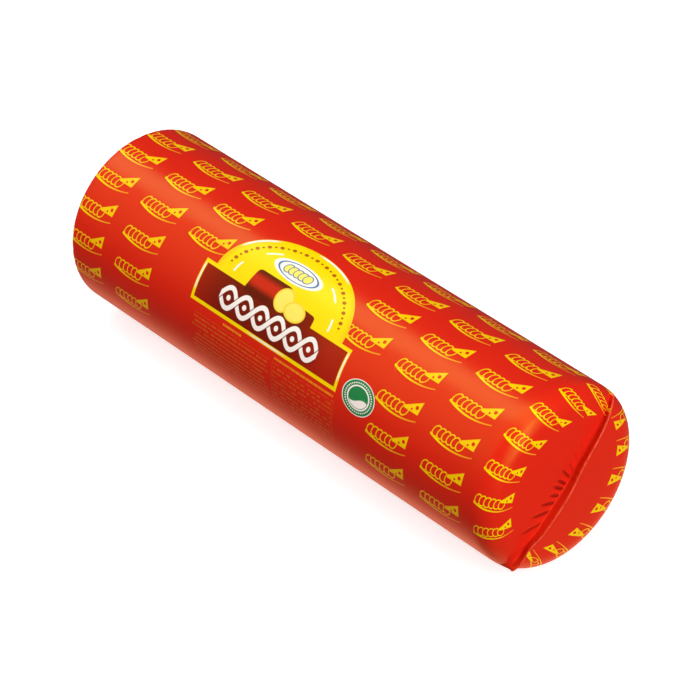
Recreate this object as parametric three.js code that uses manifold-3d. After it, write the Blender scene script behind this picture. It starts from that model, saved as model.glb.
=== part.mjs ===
// A roll of semi-hard cheese in a shrunk plastic bag. The roll lies on its side, with its axis along X.
// The bag is a flattened tube of film: each end is closed by one straight weld that runs across the
// end face from rim to rim and stands up as a thin fin. The +X weld is the mouth, where the roll went in.
//
// Millimetres, +Z up. The origin is on the resting surface, below the middle of the roll.

import * as THREE from 'three';
import { mergeVertices } from 'three/addons/utils/BufferGeometryUtils.js';
import Module from 'manifold-3d';

// ---- driving dimensions -------------------------------------------------------------------------
const BAG_RADIUS = 48; // outside of the film
const BODY_LENGTH = 313.6; // between the two end planes, without the fins
const REST_FLATTENING = 1.05; // how far the soft roll has flattened where it lies

const FILM = 0.4; // stand-in wall: the real film is about 0.1 mm thick
const CLEARANCE = 0.3; // between the film and the cheese, and between the mouth's two layers

const MOUTH_SHOULDER = 10.4; // radius of the rounded edge at the mouth end
const BASE_SHOULDER = 2.4; // radius of the crisper edge at the other end
const END_CROWN = 1.4; // how far an end face swells between its edge and its middle

const FIN_HEIGHT = 6; // above the end plane, at the middle of the weld
const FIN_REACH = 47; // from the roll's axis to the tip of each ear
const FIN_ROOT = 10.6; // how far back from the end plane an ear's outer edge starts
const WELD_ANGLE = 46.8; // of the welds about the roll's axis, from +Y towards +Z, in degrees
const MOUTH_HALF_LENGTH = 42; // of the slot between the mouth's two layers

// ---- fineness -----------------------------------------------------------------------------------
const ROUND_SEGMENTS = 72; // round the roll
const MOUTH_SHOULDER_STEPS = 6;
const BASE_SHOULDER_STEPS = 3;
const CROWN_STEPS = 3;
const FIN_STEPS = 16; // along a fin's curved top

// ---- derived ------------------------------------------------------------------------------------
const HALF_LENGTH = BODY_LENGTH / 2;
const AXIS_HEIGHT = BAG_RADIUS - REST_FLATTENING;
const FIN_THICKNESS = 2 * FILM + CLEARANCE;

const MATERIALS = {
  film: new THREE.MeshStandardMaterial({ color: 0xe02414, roughness: 0.28, metalness: 0 }),
  cheese: new THREE.MeshStandardMaterial({ color: 0xf2d77e, roughness: 0.6, metalness: 0 }),
};

const wasm = await Module();
wasm.setup();

// A closed three.js geometry as a manifold solid.
function solidOf(geometry) {
  const bare = geometry.clone();
  bare.deleteAttribute('normal');
  bare.deleteAttribute('uv');
  const merged = mergeVertices(bare, 1e-4);
  const mesh = new wasm.Mesh({
    numProp: 3,
    vertProperties: new Float32Array(merged.attributes.position.array),
    triVerts: new Uint32Array(merged.index.array),
  });
  return new wasm.Manifold(mesh);
}

// A manifold solid as a three.js geometry.
function geometryOf(solid) {
  const mesh = solid.getMesh();
  const geometry = new THREE.BufferGeometry();
  geometry.setAttribute('position', new THREE.BufferAttribute(new Float32Array(mesh.vertProperties), 3));
  geometry.setIndex(new THREE.BufferAttribute(new Uint32Array(mesh.triVerts), 1));
  geometry.computeVertexNormals();
  return geometry;
}

// Half of a roll's outline, from the middle of the end face at endX to the point where the rounded
// edge meets the side. Points are (radius, distance from the roll's middle).
function endOutline(radius, endDistance, shoulder, steps) {
  const points = [];
  const faceRadius = radius - shoulder;
  for (let i = 0; i < CROWN_STEPS; i++) {
    const share = i / CROWN_STEPS;
    points.push(new THREE.Vector2(faceRadius * share, endDistance + END_CROWN * (1 - share * share)));
  }
  for (let i = 0; i <= steps; i++) {
    const angle = (Math.PI / 2) * (i / steps);
    points.push(new THREE.Vector2(
      faceRadius + shoulder * Math.sin(angle),
      endDistance - shoulder + shoulder * Math.cos(angle),
    ));
  }
  return points;
}

// The roll's shape, taken in by inset on every side, and flat underneath.
function roll(inset) {
  const radius = BAG_RADIUS - inset;
  const endDistance = HALF_LENGTH - inset;
  const mouth = endOutline(radius, endDistance, MOUTH_SHOULDER - inset, MOUTH_SHOULDER_STEPS);
  const base = endOutline(radius, endDistance, BASE_SHOULDER - inset, BASE_SHOULDER_STEPS);
  const outline = [
    ...base.map((point) => new THREE.Vector2(point.x, -point.y)),
    ...mouth.reverse(),
  ];
  const geometry = new THREE.LatheGeometry(outline, ROUND_SEGMENTS);
  geometry.rotateZ(-Math.PI / 2);
  return solidOf(geometry).subtract(belowHeight(-AXIS_HEIGHT + inset));
}

// Everything below a height, as a block wider than the roll.
function belowHeight(height) {
  const block = new THREE.BoxGeometry(2 * BODY_LENGTH, 4 * BAG_RADIUS, BAG_RADIUS);
  block.translate(0, 0, height - BAG_RADIUS / 2);
  return solidOf(block);
}

// Puts a flat shape drawn in (distance along the weld, distance along the roll's axis) across an end
// face, with the given thickness.
function acrossEnd(shape, thickness, side) {
  const options = { depth: thickness, bevelEnabled: false, curveSegments: FIN_STEPS };
  const geometry = new THREE.ExtrudeGeometry(shape, options);
  geometry.translate(0, 0, -thickness / 2);
  const weld = THREE.MathUtils.degToRad(WELD_ANGLE);
  const alongWeld = new THREE.Vector3(0, Math.cos(weld), Math.sin(weld));
  const alongAxis = new THREE.Vector3(side, 0, 0);
  const through = new THREE.Vector3().crossVectors(alongWeld, alongAxis);
  geometry.applyMatrix4(new THREE.Matrix4().makeBasis(alongWeld, alongAxis, through));
  return solidOf(geometry);
}

// A weld's fin: an arch over the end face, ending in an ear at each rim. Its root is buried in the roll.
function fin(side) {
  const shape = new THREE.Shape();
  const rootDistance = HALF_LENGTH - FIN_ROOT;
  shape.moveTo(-BAG_RADIUS + FILM, rootDistance);
  shape.lineTo(BAG_RADIUS - FILM, rootDistance);
  shape.lineTo(FIN_REACH, HALF_LENGTH);
  shape.absellipse(0, HALF_LENGTH, FIN_REACH, FIN_HEIGHT, 0, Math.PI, false);
  shape.closePath();
  return acrossEnd(shape, FIN_THICKNESS, side);
}

// The hairline between the two layers of film at the mouth, from the cheese out past the fin.
function mouthSlot() {
  const shape = new THREE.Shape();
  const inner = HALF_LENGTH - MOUTH_SHOULDER / 2;
  const outer = HALF_LENGTH + 2 * FIN_HEIGHT;
  shape.moveTo(-MOUTH_HALF_LENGTH, inner);
  shape.lineTo(MOUTH_HALF_LENGTH, inner);
  shape.lineTo(MOUTH_HALF_LENGTH, outer);
  shape.lineTo(-MOUTH_HALF_LENGTH, outer);
  shape.closePath();
  return acrossEnd(shape, CLEARANCE, 1);
}

function filmBag() {
  const outside = roll(0).add(fin(1)).add(fin(-1));
  return outside.subtract(roll(FILM)).subtract(mouthSlot());
}

function named(name, solid, material) {
  const mesh = new THREE.Mesh(geometryOf(solid), material);
  mesh.name = name;
  mesh.position.z = AXIS_HEIGHT;
  return mesh;
}

const group = new THREE.Group();
group.add(named('cheese_roll', roll(FILM + CLEARANCE), MATERIALS.cheese));
group.add(named('film_bag', filmBag(), MATERIALS.film));

export default group;
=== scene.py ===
"""The looks of a film-wrapped cheese roll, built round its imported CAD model.

Everything is in metres in the model's own frame: the roll's axis lies along X, Z is up, and the
origin is on the resting surface below the roll's middle.
"""

import logging
import math
from collections.abc import Sequence
from dataclasses import dataclass, field
from enum import Enum

import bpy
import numpy as np
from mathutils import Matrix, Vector


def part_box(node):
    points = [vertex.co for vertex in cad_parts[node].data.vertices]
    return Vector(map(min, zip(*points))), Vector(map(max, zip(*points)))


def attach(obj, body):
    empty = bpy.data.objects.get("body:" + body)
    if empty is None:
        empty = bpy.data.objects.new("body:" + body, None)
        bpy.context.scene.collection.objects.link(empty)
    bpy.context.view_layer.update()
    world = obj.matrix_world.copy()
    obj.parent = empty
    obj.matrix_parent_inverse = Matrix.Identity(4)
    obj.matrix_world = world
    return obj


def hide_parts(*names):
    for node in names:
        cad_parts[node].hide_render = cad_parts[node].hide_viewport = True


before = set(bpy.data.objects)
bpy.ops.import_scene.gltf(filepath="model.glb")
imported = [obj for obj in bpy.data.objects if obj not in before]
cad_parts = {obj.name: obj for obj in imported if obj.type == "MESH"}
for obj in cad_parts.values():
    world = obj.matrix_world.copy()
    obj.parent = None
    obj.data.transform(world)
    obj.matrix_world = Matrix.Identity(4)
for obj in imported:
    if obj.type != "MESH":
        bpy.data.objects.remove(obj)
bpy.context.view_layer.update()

log = logging.getLogger("cheese_roll")

MM = 0.001
BODY = "root"
Colour = tuple[float, float, float]


class End(Enum):
    """An end of the roll, with the direction of its outward axis along X."""

    MOUTH = 1.0
    BASE = -1.0


def srgb(red: int, green: int, blue: int) -> Colour:
    """Returns a display colour, each part 0 to 255, as linear light."""
    parts = (red / 255, green / 255, blue / 255)
    return tuple(c / 12.92 if c <= 0.04045 else ((c + 0.055) / 1.055) ** 2.4 for c in parts)


# ---- node trees -------------------------------------------------------------------------------


class Value:
    """A number carried by a node socket, so that shader maths reads as an expression."""

    def __init__(self, graph: "Graph", socket: bpy.types.NodeSocket) -> None:
        """Wraps one output socket of a graph."""
        self.graph = graph
        self.socket = socket

    def math(self, operation: str, *others: "Value | float", clamp: bool = False) -> "Value":
        """Adds a Math node whose first input is this value.

        Args:
            operation: the Math node's operation.
            others: the values of its other inputs, in order.
            clamp: whether the result is held between 0 and 1.

        Returns:
            The node's result.
        """
        return self.graph.math(operation, self, *others, clamp=clamp)

    def __add__(self, other: "Value | float") -> "Value":
        """self + other."""
        return self.math("ADD", other)

    __radd__ = __add__

    def __sub__(self, other: "Value | float") -> "Value":
        """self - other."""
        return self.math("SUBTRACT", other)

    def __rsub__(self, other: "Value | float") -> "Value":
        """other - self."""
        return self.graph.math("SUBTRACT", other, self)

    def __mul__(self, other: "Value | float") -> "Value":
        """self * other."""
        return self.math("MULTIPLY", other)

    __rmul__ = __mul__

    def __truediv__(self, other: "Value | float") -> "Value":
        """self / other."""
        return self.math("DIVIDE", other)

    def __neg__(self) -> "Value":
        """-self."""
        return self.math("MULTIPLY", -1.0)

    def __abs__(self) -> "Value":
        """The size of self."""
        return self.math("ABSOLUTE")

    def __gt__(self, other: "Value | float") -> "Value":
        """1 where self is above other, else 0."""
        return self.math("GREATER_THAN", other)

    def __lt__(self, other: "Value | float") -> "Value":
        """1 where self is below other, else 0."""
        return self.math("LESS_THAN", other)

    def __and__(self, other: "Value | float") -> "Value":
        """Both masks, as their product."""
        return self.math("MULTIPLY", other)

    def __or__(self, other: "Value | float") -> "Value":
        """Either mask, as the larger."""
        return self.math("MAXIMUM", other)

    def clamped(self) -> "Value":
        """self held between 0 and 1."""
        return self.math("ADD", 0.0, clamp=True)


class Graph:
    """Adds nodes to a shader or geometry tree."""

    def __init__(self, tree: bpy.types.NodeTree) -> None:
        """Wraps an empty tree."""
        self.tree = tree

    def add(self, kind: str, settings: dict | None = None, values: dict | None = None) -> bpy.types.Node:
        """Adds one node.

        Args:
            kind: the node's type name.
            settings: the node's own properties, set before its sockets.
            values: socket name or number to a value, or to a Value or output socket to link.

        Returns:
            The node.
        """
        node = self.tree.nodes.new(kind)
        for name, setting in (settings or {}).items():
            setattr(node, name, setting)
        for key, value in (values or {}).items():
            self.link(value, node.inputs[key])
        return node

    def link(self, value: object, socket: bpy.types.NodeSocket) -> None:
        """Links a value or an output to a socket, or sets the socket to a plain value."""
        if isinstance(value, Value):
            self.tree.links.new(value.socket, socket)
        elif isinstance(value, bpy.types.NodeSocket):
            self.tree.links.new(value, socket)
        elif socket.type == "RGBA" and len(value) == 3:
            socket.default_value = (*value, 1.0)
        else:
            socket.default_value = value

    def math(self, operation: str, *inputs: Value | float, clamp: bool = False) -> Value:
        """Adds a Math node.

        Args:
            operation: the node's operation.
            inputs: its inputs, in order.
            clamp: whether the result is held between 0 and 1.

        Returns:
            The node's result.
        """
        settings = {"operation": operation, "use_clamp": clamp}
        node = self.add("ShaderNodeMath", settings, dict(enumerate(inputs)))
        return Value(self, node.outputs[0])

    def length(self, x: Value, y: Value) -> Value:
        """The length of (x, y)."""
        return (x * x + y * y).math("SQRT")

    def fade(self, value: Value, start: float, end: float) -> Value:
        """A smooth step of value, 0 at start and 1 at end. Start may be above end."""
        values = {"Value": value, "From Min": start, "From Max": end}
        node = self.add("ShaderNodeMapRange", {"interpolation_type": "SMOOTHSTEP"}, values)
        return Value(self, node.outputs["Result"])

    def mix(
        self, share: Value | float, first: object, second: object, kind: str = "MIX"
    ) -> bpy.types.NodeSocket:
        """Mixes two colours.

        Args:
            share: how much of the second shows, from 0 to 1.
            first: the colour under it.
            second: the colour over it.
            kind: the Mix node's blend type.

        Returns:
            The mixed colour.
        """
        settings = {"data_type": "RGBA", "blend_type": kind, "clamp_factor": True}
        node = self.add("ShaderNodeMix", settings, {0: share, 6: first, 7: second})
        return node.outputs[2]

    def noise(self, where: object, scale: float, detail: float = 2.0) -> Value:
        """A noise field from 0 to 1.

        Args:
            where: the point that it reads.
            scale: features per metre.
            detail: octaves of finer noise.

        Returns:
            The noise.
        """
        values = {"Vector": where, "Scale": scale, "Detail": detail}
        return Value(self, self.add("ShaderNodeTexNoise", {}, values).outputs[0])


def new_material(name: str) -> tuple[bpy.types.Material, Graph, bpy.types.Node]:
    """Makes a material with one Principled shader.

    Args:
        name: the material's name.

    Returns:
        The material, its graph and the shader's node.
    """
    material = bpy.data.materials.new(name)
    material.use_nodes = True
    material.node_tree.nodes.clear()
    graph = Graph(material.node_tree)
    shader = graph.add("ShaderNodeBsdfPrincipled")
    graph.add("ShaderNodeOutputMaterial", {}, {"Surface": shader.outputs[0]})
    return material, graph, shader


# ---- the roll's shape -------------------------------------------------------------------------


@dataclass(frozen=True)
class EndShape:
    """One end of the bag, in metres."""

    side: End
    shoulder: float  # radius of the rounded edge
    crown: float  # swell of the face between its edge and its middle
    fin_top: float  # height of the fin's tip above the end plane, at the middle
    fin_depth: float  # from the fin's root to its tip, at the middle
    reach: float  # from the axis to an ear's tip
    softness: float  # how far the film's bends are eased along it
    ear_drop: float  # how far the upper ear's tip is folded down
    drawn_in: float  # from 0 to 1, how much the front film's lower side is drawn to the middle


@dataclass(frozen=True)
class Roll:
    """The bag's driving sizes, in metres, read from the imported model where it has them."""

    radius: float
    axis_height: float
    half_length: float  # from the middle to an end plane, without the fins
    film: float = 0.18 * MM
    mouth_gap: float = 0.1 * MM  # between the two layers of a fin
    weld_angle: float = math.radians(46.8)
    mouth: EndShape = EndShape(
        End.MOUTH, 10.4 * MM, 1.4 * MM, 6 * MM, 4.4 * MM, 47 * MM,
        softness=3 * MM, ear_drop=3 * MM, drawn_in=1,
    )
    base: EndShape = EndShape(
        End.BASE, 2.4 * MM, 1.4 * MM, 6 * MM, 4.4 * MM, 47 * MM, softness=0.4 * MM, ear_drop=0, drawn_in=0
    )

    @classmethod
    def from_frame(cls) -> "Roll":
        """Reads the radius, the axis height and the length from the film's CAD node."""
        low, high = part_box("film_bag")
        radius = (high.y - low.y) / 2
        return cls(radius, high.z - radius, high.x - 6 * MM)

    def weld_axes(self) -> tuple[Vector, Vector]:
        """Returns the direction along the welds, and the one across them towards the front panel."""
        along = Vector((0, math.cos(self.weld_angle), math.sin(self.weld_angle)))
        across = Vector((0, -math.sin(self.weld_angle), math.cos(self.weld_angle)))
        return along, across


def end_height(radius: np.ndarray, roll_radius: float, end: EndShape) -> np.ndarray:
    """The cheese's end, as a height over the end plane.

    Args:
        radius: distances from the axis.
        roll_radius: the roll's own radius.
        end: the end's sizes.

    Returns:
        The height at each distance, which is negative on the rounded edge.
    """
    face = roll_radius - end.shoulder
    crown = end.crown * (1 - (radius / face) ** 2)
    inward = np.clip(radius - face, 0, end.shoulder)
    edge = np.sqrt(end.shoulder**2 - inward**2) - end.shoulder
    return np.where(radius < face, crown, edge)


def smoothed(points: np.ndarray, sigma: float) -> np.ndarray:
    """Smooths polylines along their second axis, and keeps both of their ends.

    Args:
        points: an array of (line, point, 3).
        sigma: the smoothing's reach, in points.

    Returns:
        The smoothed lines.
    """
    reach = int(3 * sigma)
    kernel = np.exp(-0.5 * (np.arange(-reach, reach + 1) / sigma) ** 2)
    kernel /= kernel.sum()
    # A line is carried on past its ends by its own mirror image through each end point.
    head = 2 * points[:, :1] - points[:, reach:0:-1]
    tail = 2 * points[:, -1:] - points[:, -2 : -reach - 2 : -1]
    padded = np.concatenate([head, points, tail], axis=1)
    return np.apply_along_axis(lambda line: np.convolve(line, kernel, "valid"), 1, padded)


def spaced(points: np.ndarray, shares: np.ndarray) -> np.ndarray:
    """Resamples polylines at shares of their length.

    Args:
        points: an array of (line, point, 3).
        shares: places along each line, from 0 to 1.

    Returns:
        An array of (line, share, 3).
    """
    steps = np.linalg.norm(np.diff(points, axis=1), axis=2)
    along = np.concatenate([np.zeros((len(points), 1)), np.cumsum(steps, axis=1)], axis=1)
    rows = []
    for line, length in zip(points, along):
        at = shares * length[-1]
        rows.append(np.stack([np.interp(at, length, line[:, k]) for k in range(3)], axis=1))
    return np.array(rows)


@dataclass(frozen=True)
class FinLean:
    """How far the mouth's fin stands out of its plane at its tip, in metres."""

    forward: float = 1.0 * MM
    upper: float = 1.05 * MM  # more on the upper half, and less on the lower half
    step_place: float = 4 * MM
    step_width: float = 6 * MM
    lower_swell: float = 2.1 * MM
    swell_place: float = -34 * MM
    swell_width: float = 6 * MM
    reach: float = 47 * MM  # to an ear's tip, which stays in the plane

    def at(self, along: np.ndarray) -> np.ndarray:
        """The tip's distance towards the front panel, at places along the weld."""
        step = np.tanh((along - self.step_place) / self.step_width)
        swell = np.exp(-(((along - self.swell_place) / self.swell_width) ** 2))
        ears = np.clip(1 - (along / self.reach) ** 20, 0, 1)
        return (self.forward + self.upper * step + self.lower_swell * swell) * ears


@dataclass
class FilmWall:
    """One side of the film, as rings of points round the roll from the base to the mouth."""

    roll: Roll
    columns: int
    inset: float  # 0 on the outside and the film's thickness on the inside
    fin_half: float  # from the fin's middle plane to either side
    face_rows: int  # from the side to the fin's root
    fin_rows: int
    body_rows: int  # between the two ends' parts
    straight: float = 30 * MM  # of the side, that is made with each end
    side_points: int = 40  # along that straight part, before its rows are spaced
    face_points: int = 420  # from the rim to the weld
    outline_points: int = 500  # from the side to the fin's root
    fin_points: int = 40  # from the fin's root to its tip
    fin_softness: float = 2.2  # of the bend at the fin's root, in points
    drawn_from: float = 0.05  # share of the weld where the lower side starts to be drawn in
    drawn_over: float = 0.27  # and over how much of it the draw grows
    drop_from: float = 0.62  # share of the weld where the upper ear starts to fold down
    fin_ear: float = 0.42  # the fin's depth at an ear, as a share of its depth at the middle
    row_density: float = 0.35  # rows for each millimetre of a straight part, against the others
    weld_density: float = 1.6  # and how many more close to the weld
    weld_crowd: float = 9.0  # over how many millimetres
    turn_density: float = 9.0  # rows for each radian of a bend
    lean_full: float = 0.8  # share of the fin's depth at which it leans in full
    lean_most: float = 1.1  # and how far past that it goes on
    lean_reach: float = 0.3 * MM  # beside the fin, that leans with it
    lean: FinLean = FinLean()

    def angles(self) -> np.ndarray:
        """Returns each column's angle from the upper ear."""
        return np.arange(self.columns) * 2 * math.pi / self.columns

    def weld_line(self, end: EndShape) -> tuple[np.ndarray, np.ndarray, np.ndarray]:
        """Where each column meets the weld.

        Args:
            end: the end's sizes.

        Returns:
            Each column's place in (along, across), and the heights of the fin's root and tip there.
        """
        angle = self.angles()
        quarter = math.pi / 2
        share = 1 - np.where(angle <= math.pi, angle, 2 * math.pi - angle) / quarter
        side = np.sign(np.round(np.sin(angle), 9))
        grown = np.clip((self.drawn_from - share) / self.drawn_over, 0, 1)
        drawn = np.where(side > 0, end.drawn_in, 0) * grown
        share = share + (self.drawn_share(share) - share) * drawn
        along = (end.reach - self.inset) * share
        arch = np.sqrt(np.clip(1 - (along / end.reach) ** 2, 0, 1))
        folded = (along / end.reach - self.drop_from) / (1 - self.drop_from)
        drop = end.ear_drop * np.clip(folded, 0, 1) ** 2
        tip = end.fin_top * arch - self.inset - drop
        root = tip - end.fin_depth * (self.fin_ear + (1 - self.fin_ear) * arch)
        return np.stack([along, side * self.fin_half], axis=1), root, tip

    @staticmethod
    def drawn_share(share: np.ndarray, centre: float = 0.375, ear: float = -0.72) -> np.ndarray:
        """Where the film meets the weld if it runs towards one point behind the weld.

        Args:
            share: the place where it would meet the weld evenly, from -1 to 1.
            centre: how far the point lies behind the weld, as a share of the radius.
            ear: where the film starts to run out evenly to the ear.

        Returns:
            The place where it meets the weld, from -1 to 1.
        """
        turn = np.maximum(share, ear) * math.pi / 2
        met = centre * np.sin(turn) / (np.cos(turn) + centre)
        left = np.clip((share - ear) / (-1 - ear), 0, 1)
        return met + (-1 - met) * left

    def face(self, end: EndShape) -> np.ndarray:
        """The film's columns over one end face, drawn taut from the rounded edge to the weld.

        Args:
            end: the end's sizes.

        Returns:
            An array of (column, sample, 3) in (along the weld, across it, out along the axis).
        """
        radius = self.roll.radius - self.inset
        angle = self.angles()
        rim = radius * np.stack([np.cos(angle), np.sin(angle)], axis=1)
        weld, root, _ = self.weld_line(end)
        # The samples crowd at the rim, where the edge is steep.
        share = np.linspace(0, 1, self.face_points)[None, :] ** 2
        across = rim[:, None] + (weld - rim)[:, None] * share[..., None]
        left = np.linalg.norm(weld - rim, axis=1)[:, None] * (1 - share)
        height = end_height(np.linalg.norm(across, axis=2), radius, end) - self.inset
        slope = (root[:, None] - height)[:, :-1] / np.maximum(left[:, :-1], 1e-9)
        touch = slope.argmin(axis=1)[:, None]
        taut = root[:, None] - slope.min(axis=1)[:, None] * left
        height = np.where(np.arange(self.face_points)[None, :] >= touch, taut, height)
        return np.concatenate([across, height[..., None]], axis=2)

    def end_rings(self, end: EndShape) -> tuple[np.ndarray, np.ndarray]:
        """The film over one end, from the side to the fin's tip.

        Args:
            end: the end's sizes.

        Returns:
            An array of (column, row, 3) in (along the weld, across it, out along the axis), and
            each point's distance along the film from its column's start.
        """
        face = self.face(end)
        start = np.linspace(-self.straight, face[0, 0, 2], self.side_points)[:-1]
        side = np.repeat(face[:, :1], start.size, axis=1)
        side[..., 2] = start
        weld, root, tip = self.weld_line(end)
        foot = np.concatenate([weld, root[:, None]], axis=1)[:, None]
        fin = np.repeat(foot, self.fin_points, axis=1)
        fin[..., 2] += (tip - root)[:, None] * np.linspace(0, 1, self.fin_points)
        count, middle = self.outline_points, self.columns // 4
        outline = spaced(np.concatenate([side, face], axis=1), np.linspace(0, 1, count))
        spacing = np.linalg.norm(np.diff(outline[middle], axis=0), axis=1).mean()
        outline = smoothed(outline, end.softness / spacing)
        whole = smoothed(np.concatenate([outline, fin[:, 1:]], axis=1), self.fin_softness)

        face_part = spaced(whole[:, :count], self.row_shares(whole[middle, :count]))
        fin_part = spaced(whole[:, count - 1 :], np.linspace(0, 1, self.fin_rows + 1))[:, 1:]
        rings = np.concatenate([face_part, fin_part], axis=1)
        if end.side is End.MOUTH:
            raised = (rings[..., 2] - root[:, None]) / (self.lean_full * end.fin_depth)
            raised = np.clip(raised, 0, self.lean_most)
            on_fin = np.abs(rings[..., 1]) < 2 * self.fin_half + self.lean_reach
            rings[..., 1] += self.lean.at(rings[..., 0]) * raised * on_fin
        steps = np.linalg.norm(np.diff(rings, axis=1), axis=2)
        along = np.concatenate([np.zeros((self.columns, 1)), np.cumsum(steps, axis=1)], axis=1)
        return rings, along

    def row_shares(self, line: np.ndarray) -> np.ndarray:
        """Spreads the rows by length and by turn, and crowds them towards the weld.

        Args:
            line: the outline of a panel's middle column.

        Returns:
            Shares of the line's length, from 0 to 1.
        """
        step = np.diff(line, axis=0)
        length = np.linalg.norm(step, axis=1)
        way = step / length[:, None]
        turn = np.arccos(np.clip((way[1:] * way[:-1]).sum(axis=1), -1, 1))
        place = np.concatenate([[0], np.cumsum(length)])
        to_weld = (place[-1] - place[1:]) / MM
        crowd = self.weld_density * np.exp(-to_weld / self.weld_crowd)
        density = length / MM * (self.row_density + crowd)
        density[1:] += turn * self.turn_density
        measure = np.concatenate([[0], np.cumsum(density)])
        even = np.linspace(0, measure[-1], self.face_rows)
        return np.interp(even, measure, place) / place[-1]

    def rings(self) -> tuple[np.ndarray, np.ndarray]:
        """The whole wall.

        Returns:
            An array of (row, column, 3) in the model's frame, from the base's tip to the mouth's,
            and each point's distance along the film from the roll's middle.
        """
        along_axis, across_axis = (np.array(axis) for axis in self.roll.weld_axes())
        placed = {}
        for end in (self.roll.base, self.roll.mouth):
            local, along = self.end_rings(end)
            side = end.side.value
            points = local[..., :1] * along_axis + local[..., 1:2] * across_axis
            points[..., 0] = side * (self.roll.half_length + local[..., 2])
            points[..., 2] = np.maximum(points[..., 2] + self.roll.axis_height, self.inset)
            print_at = side * (self.roll.half_length - self.straight + along)
            placed[end.side] = (points.transpose(1, 0, 2), print_at.T)
        base, base_at = (part[::-1] for part in placed[End.BASE])
        mouth, mouth_at = placed[End.MOUTH]
        share = np.linspace(0, 1, self.body_rows + 2)[1:-1, None, None]
        body = base[-1][None] * (1 - share) + mouth[0][None] * share
        body_at = base_at[-1][None] * (1 - share[..., 0]) + mouth_at[0][None] * share[..., 0]
        return np.concatenate([base, body, mouth]), np.concatenate([base_at, body_at, mouth_at])


# ---- geometry node trees ----------------------------------------------------------------------


class GeometryTree:
    """A geometry node tree with named inputs, run once on an object and then removed."""

    def __init__(self, name: str) -> None:
        """Starts a tree that takes and gives a geometry."""
        self.tree = bpy.data.node_groups.new(name, "GeometryNodeTree")
        self.tree.interface.new_socket("Geometry", in_out="INPUT", socket_type="NodeSocketGeometry")
        self.tree.interface.new_socket("Geometry", in_out="OUTPUT", socket_type="NodeSocketGeometry")
        self.graph = Graph(self.tree)
        self.inputs = self.graph.add("NodeGroupInput")

    def number(self, name: str, whole: bool = False) -> Value:
        """Adds a named number to the inputs.

        Args:
            name: the input's name.
            whole: whether it is an integer.

        Returns:
            The input's value inside the tree.
        """
        kind = "NodeSocketInt" if whole else "NodeSocketFloat"
        self.tree.interface.new_socket(name, in_out="INPUT", socket_type=kind)
        return Value(self.graph, self.inputs.outputs[name])

    def close(self, geometry: object, material: bpy.types.Material) -> None:
        """Ends the tree in Realize Instances and Set Material.

        Args:
            geometry: the tree's result so far.
            material: the finish of every face.
        """
        real = self.graph.add("GeometryNodeRealizeInstances", {}, {"Geometry": geometry})
        values = {"Geometry": real.outputs[0], "Material": material}
        dressed = self.graph.add("GeometryNodeSetMaterial", {}, values)
        self.graph.add("NodeGroupOutput", {}, {0: dressed.outputs[0]})

    def run(self, piece: bpy.types.Object, sizes: dict[str, float | int]) -> None:
        """Turns the tree's result on an object into the object's plain mesh.

        Args:
            piece: the object, whose mesh is replaced.
            sizes: a value for each named input.
        """
        modifier = piece.modifiers.new(self.tree.name, "NODES")
        modifier.node_group = self.tree
        for item in self.tree.interface.items_tree:
            if item.in_out == "INPUT" and item.name in sizes:
                modifier[item.identifier] = sizes[item.name]
        graph = bpy.context.evaluated_depsgraph_get()
        made = bpy.data.meshes.new_from_object(piece.evaluated_get(graph), depsgraph=graph)
        piece.modifiers.remove(modifier)
        piece.data = made


def split(graph: Graph, vector: object) -> list[Value]:
    """The three parts of a vector."""
    node = graph.add("ShaderNodeSeparateXYZ", {}, {0: vector})
    return [Value(graph, output) for output in node.outputs]


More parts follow.
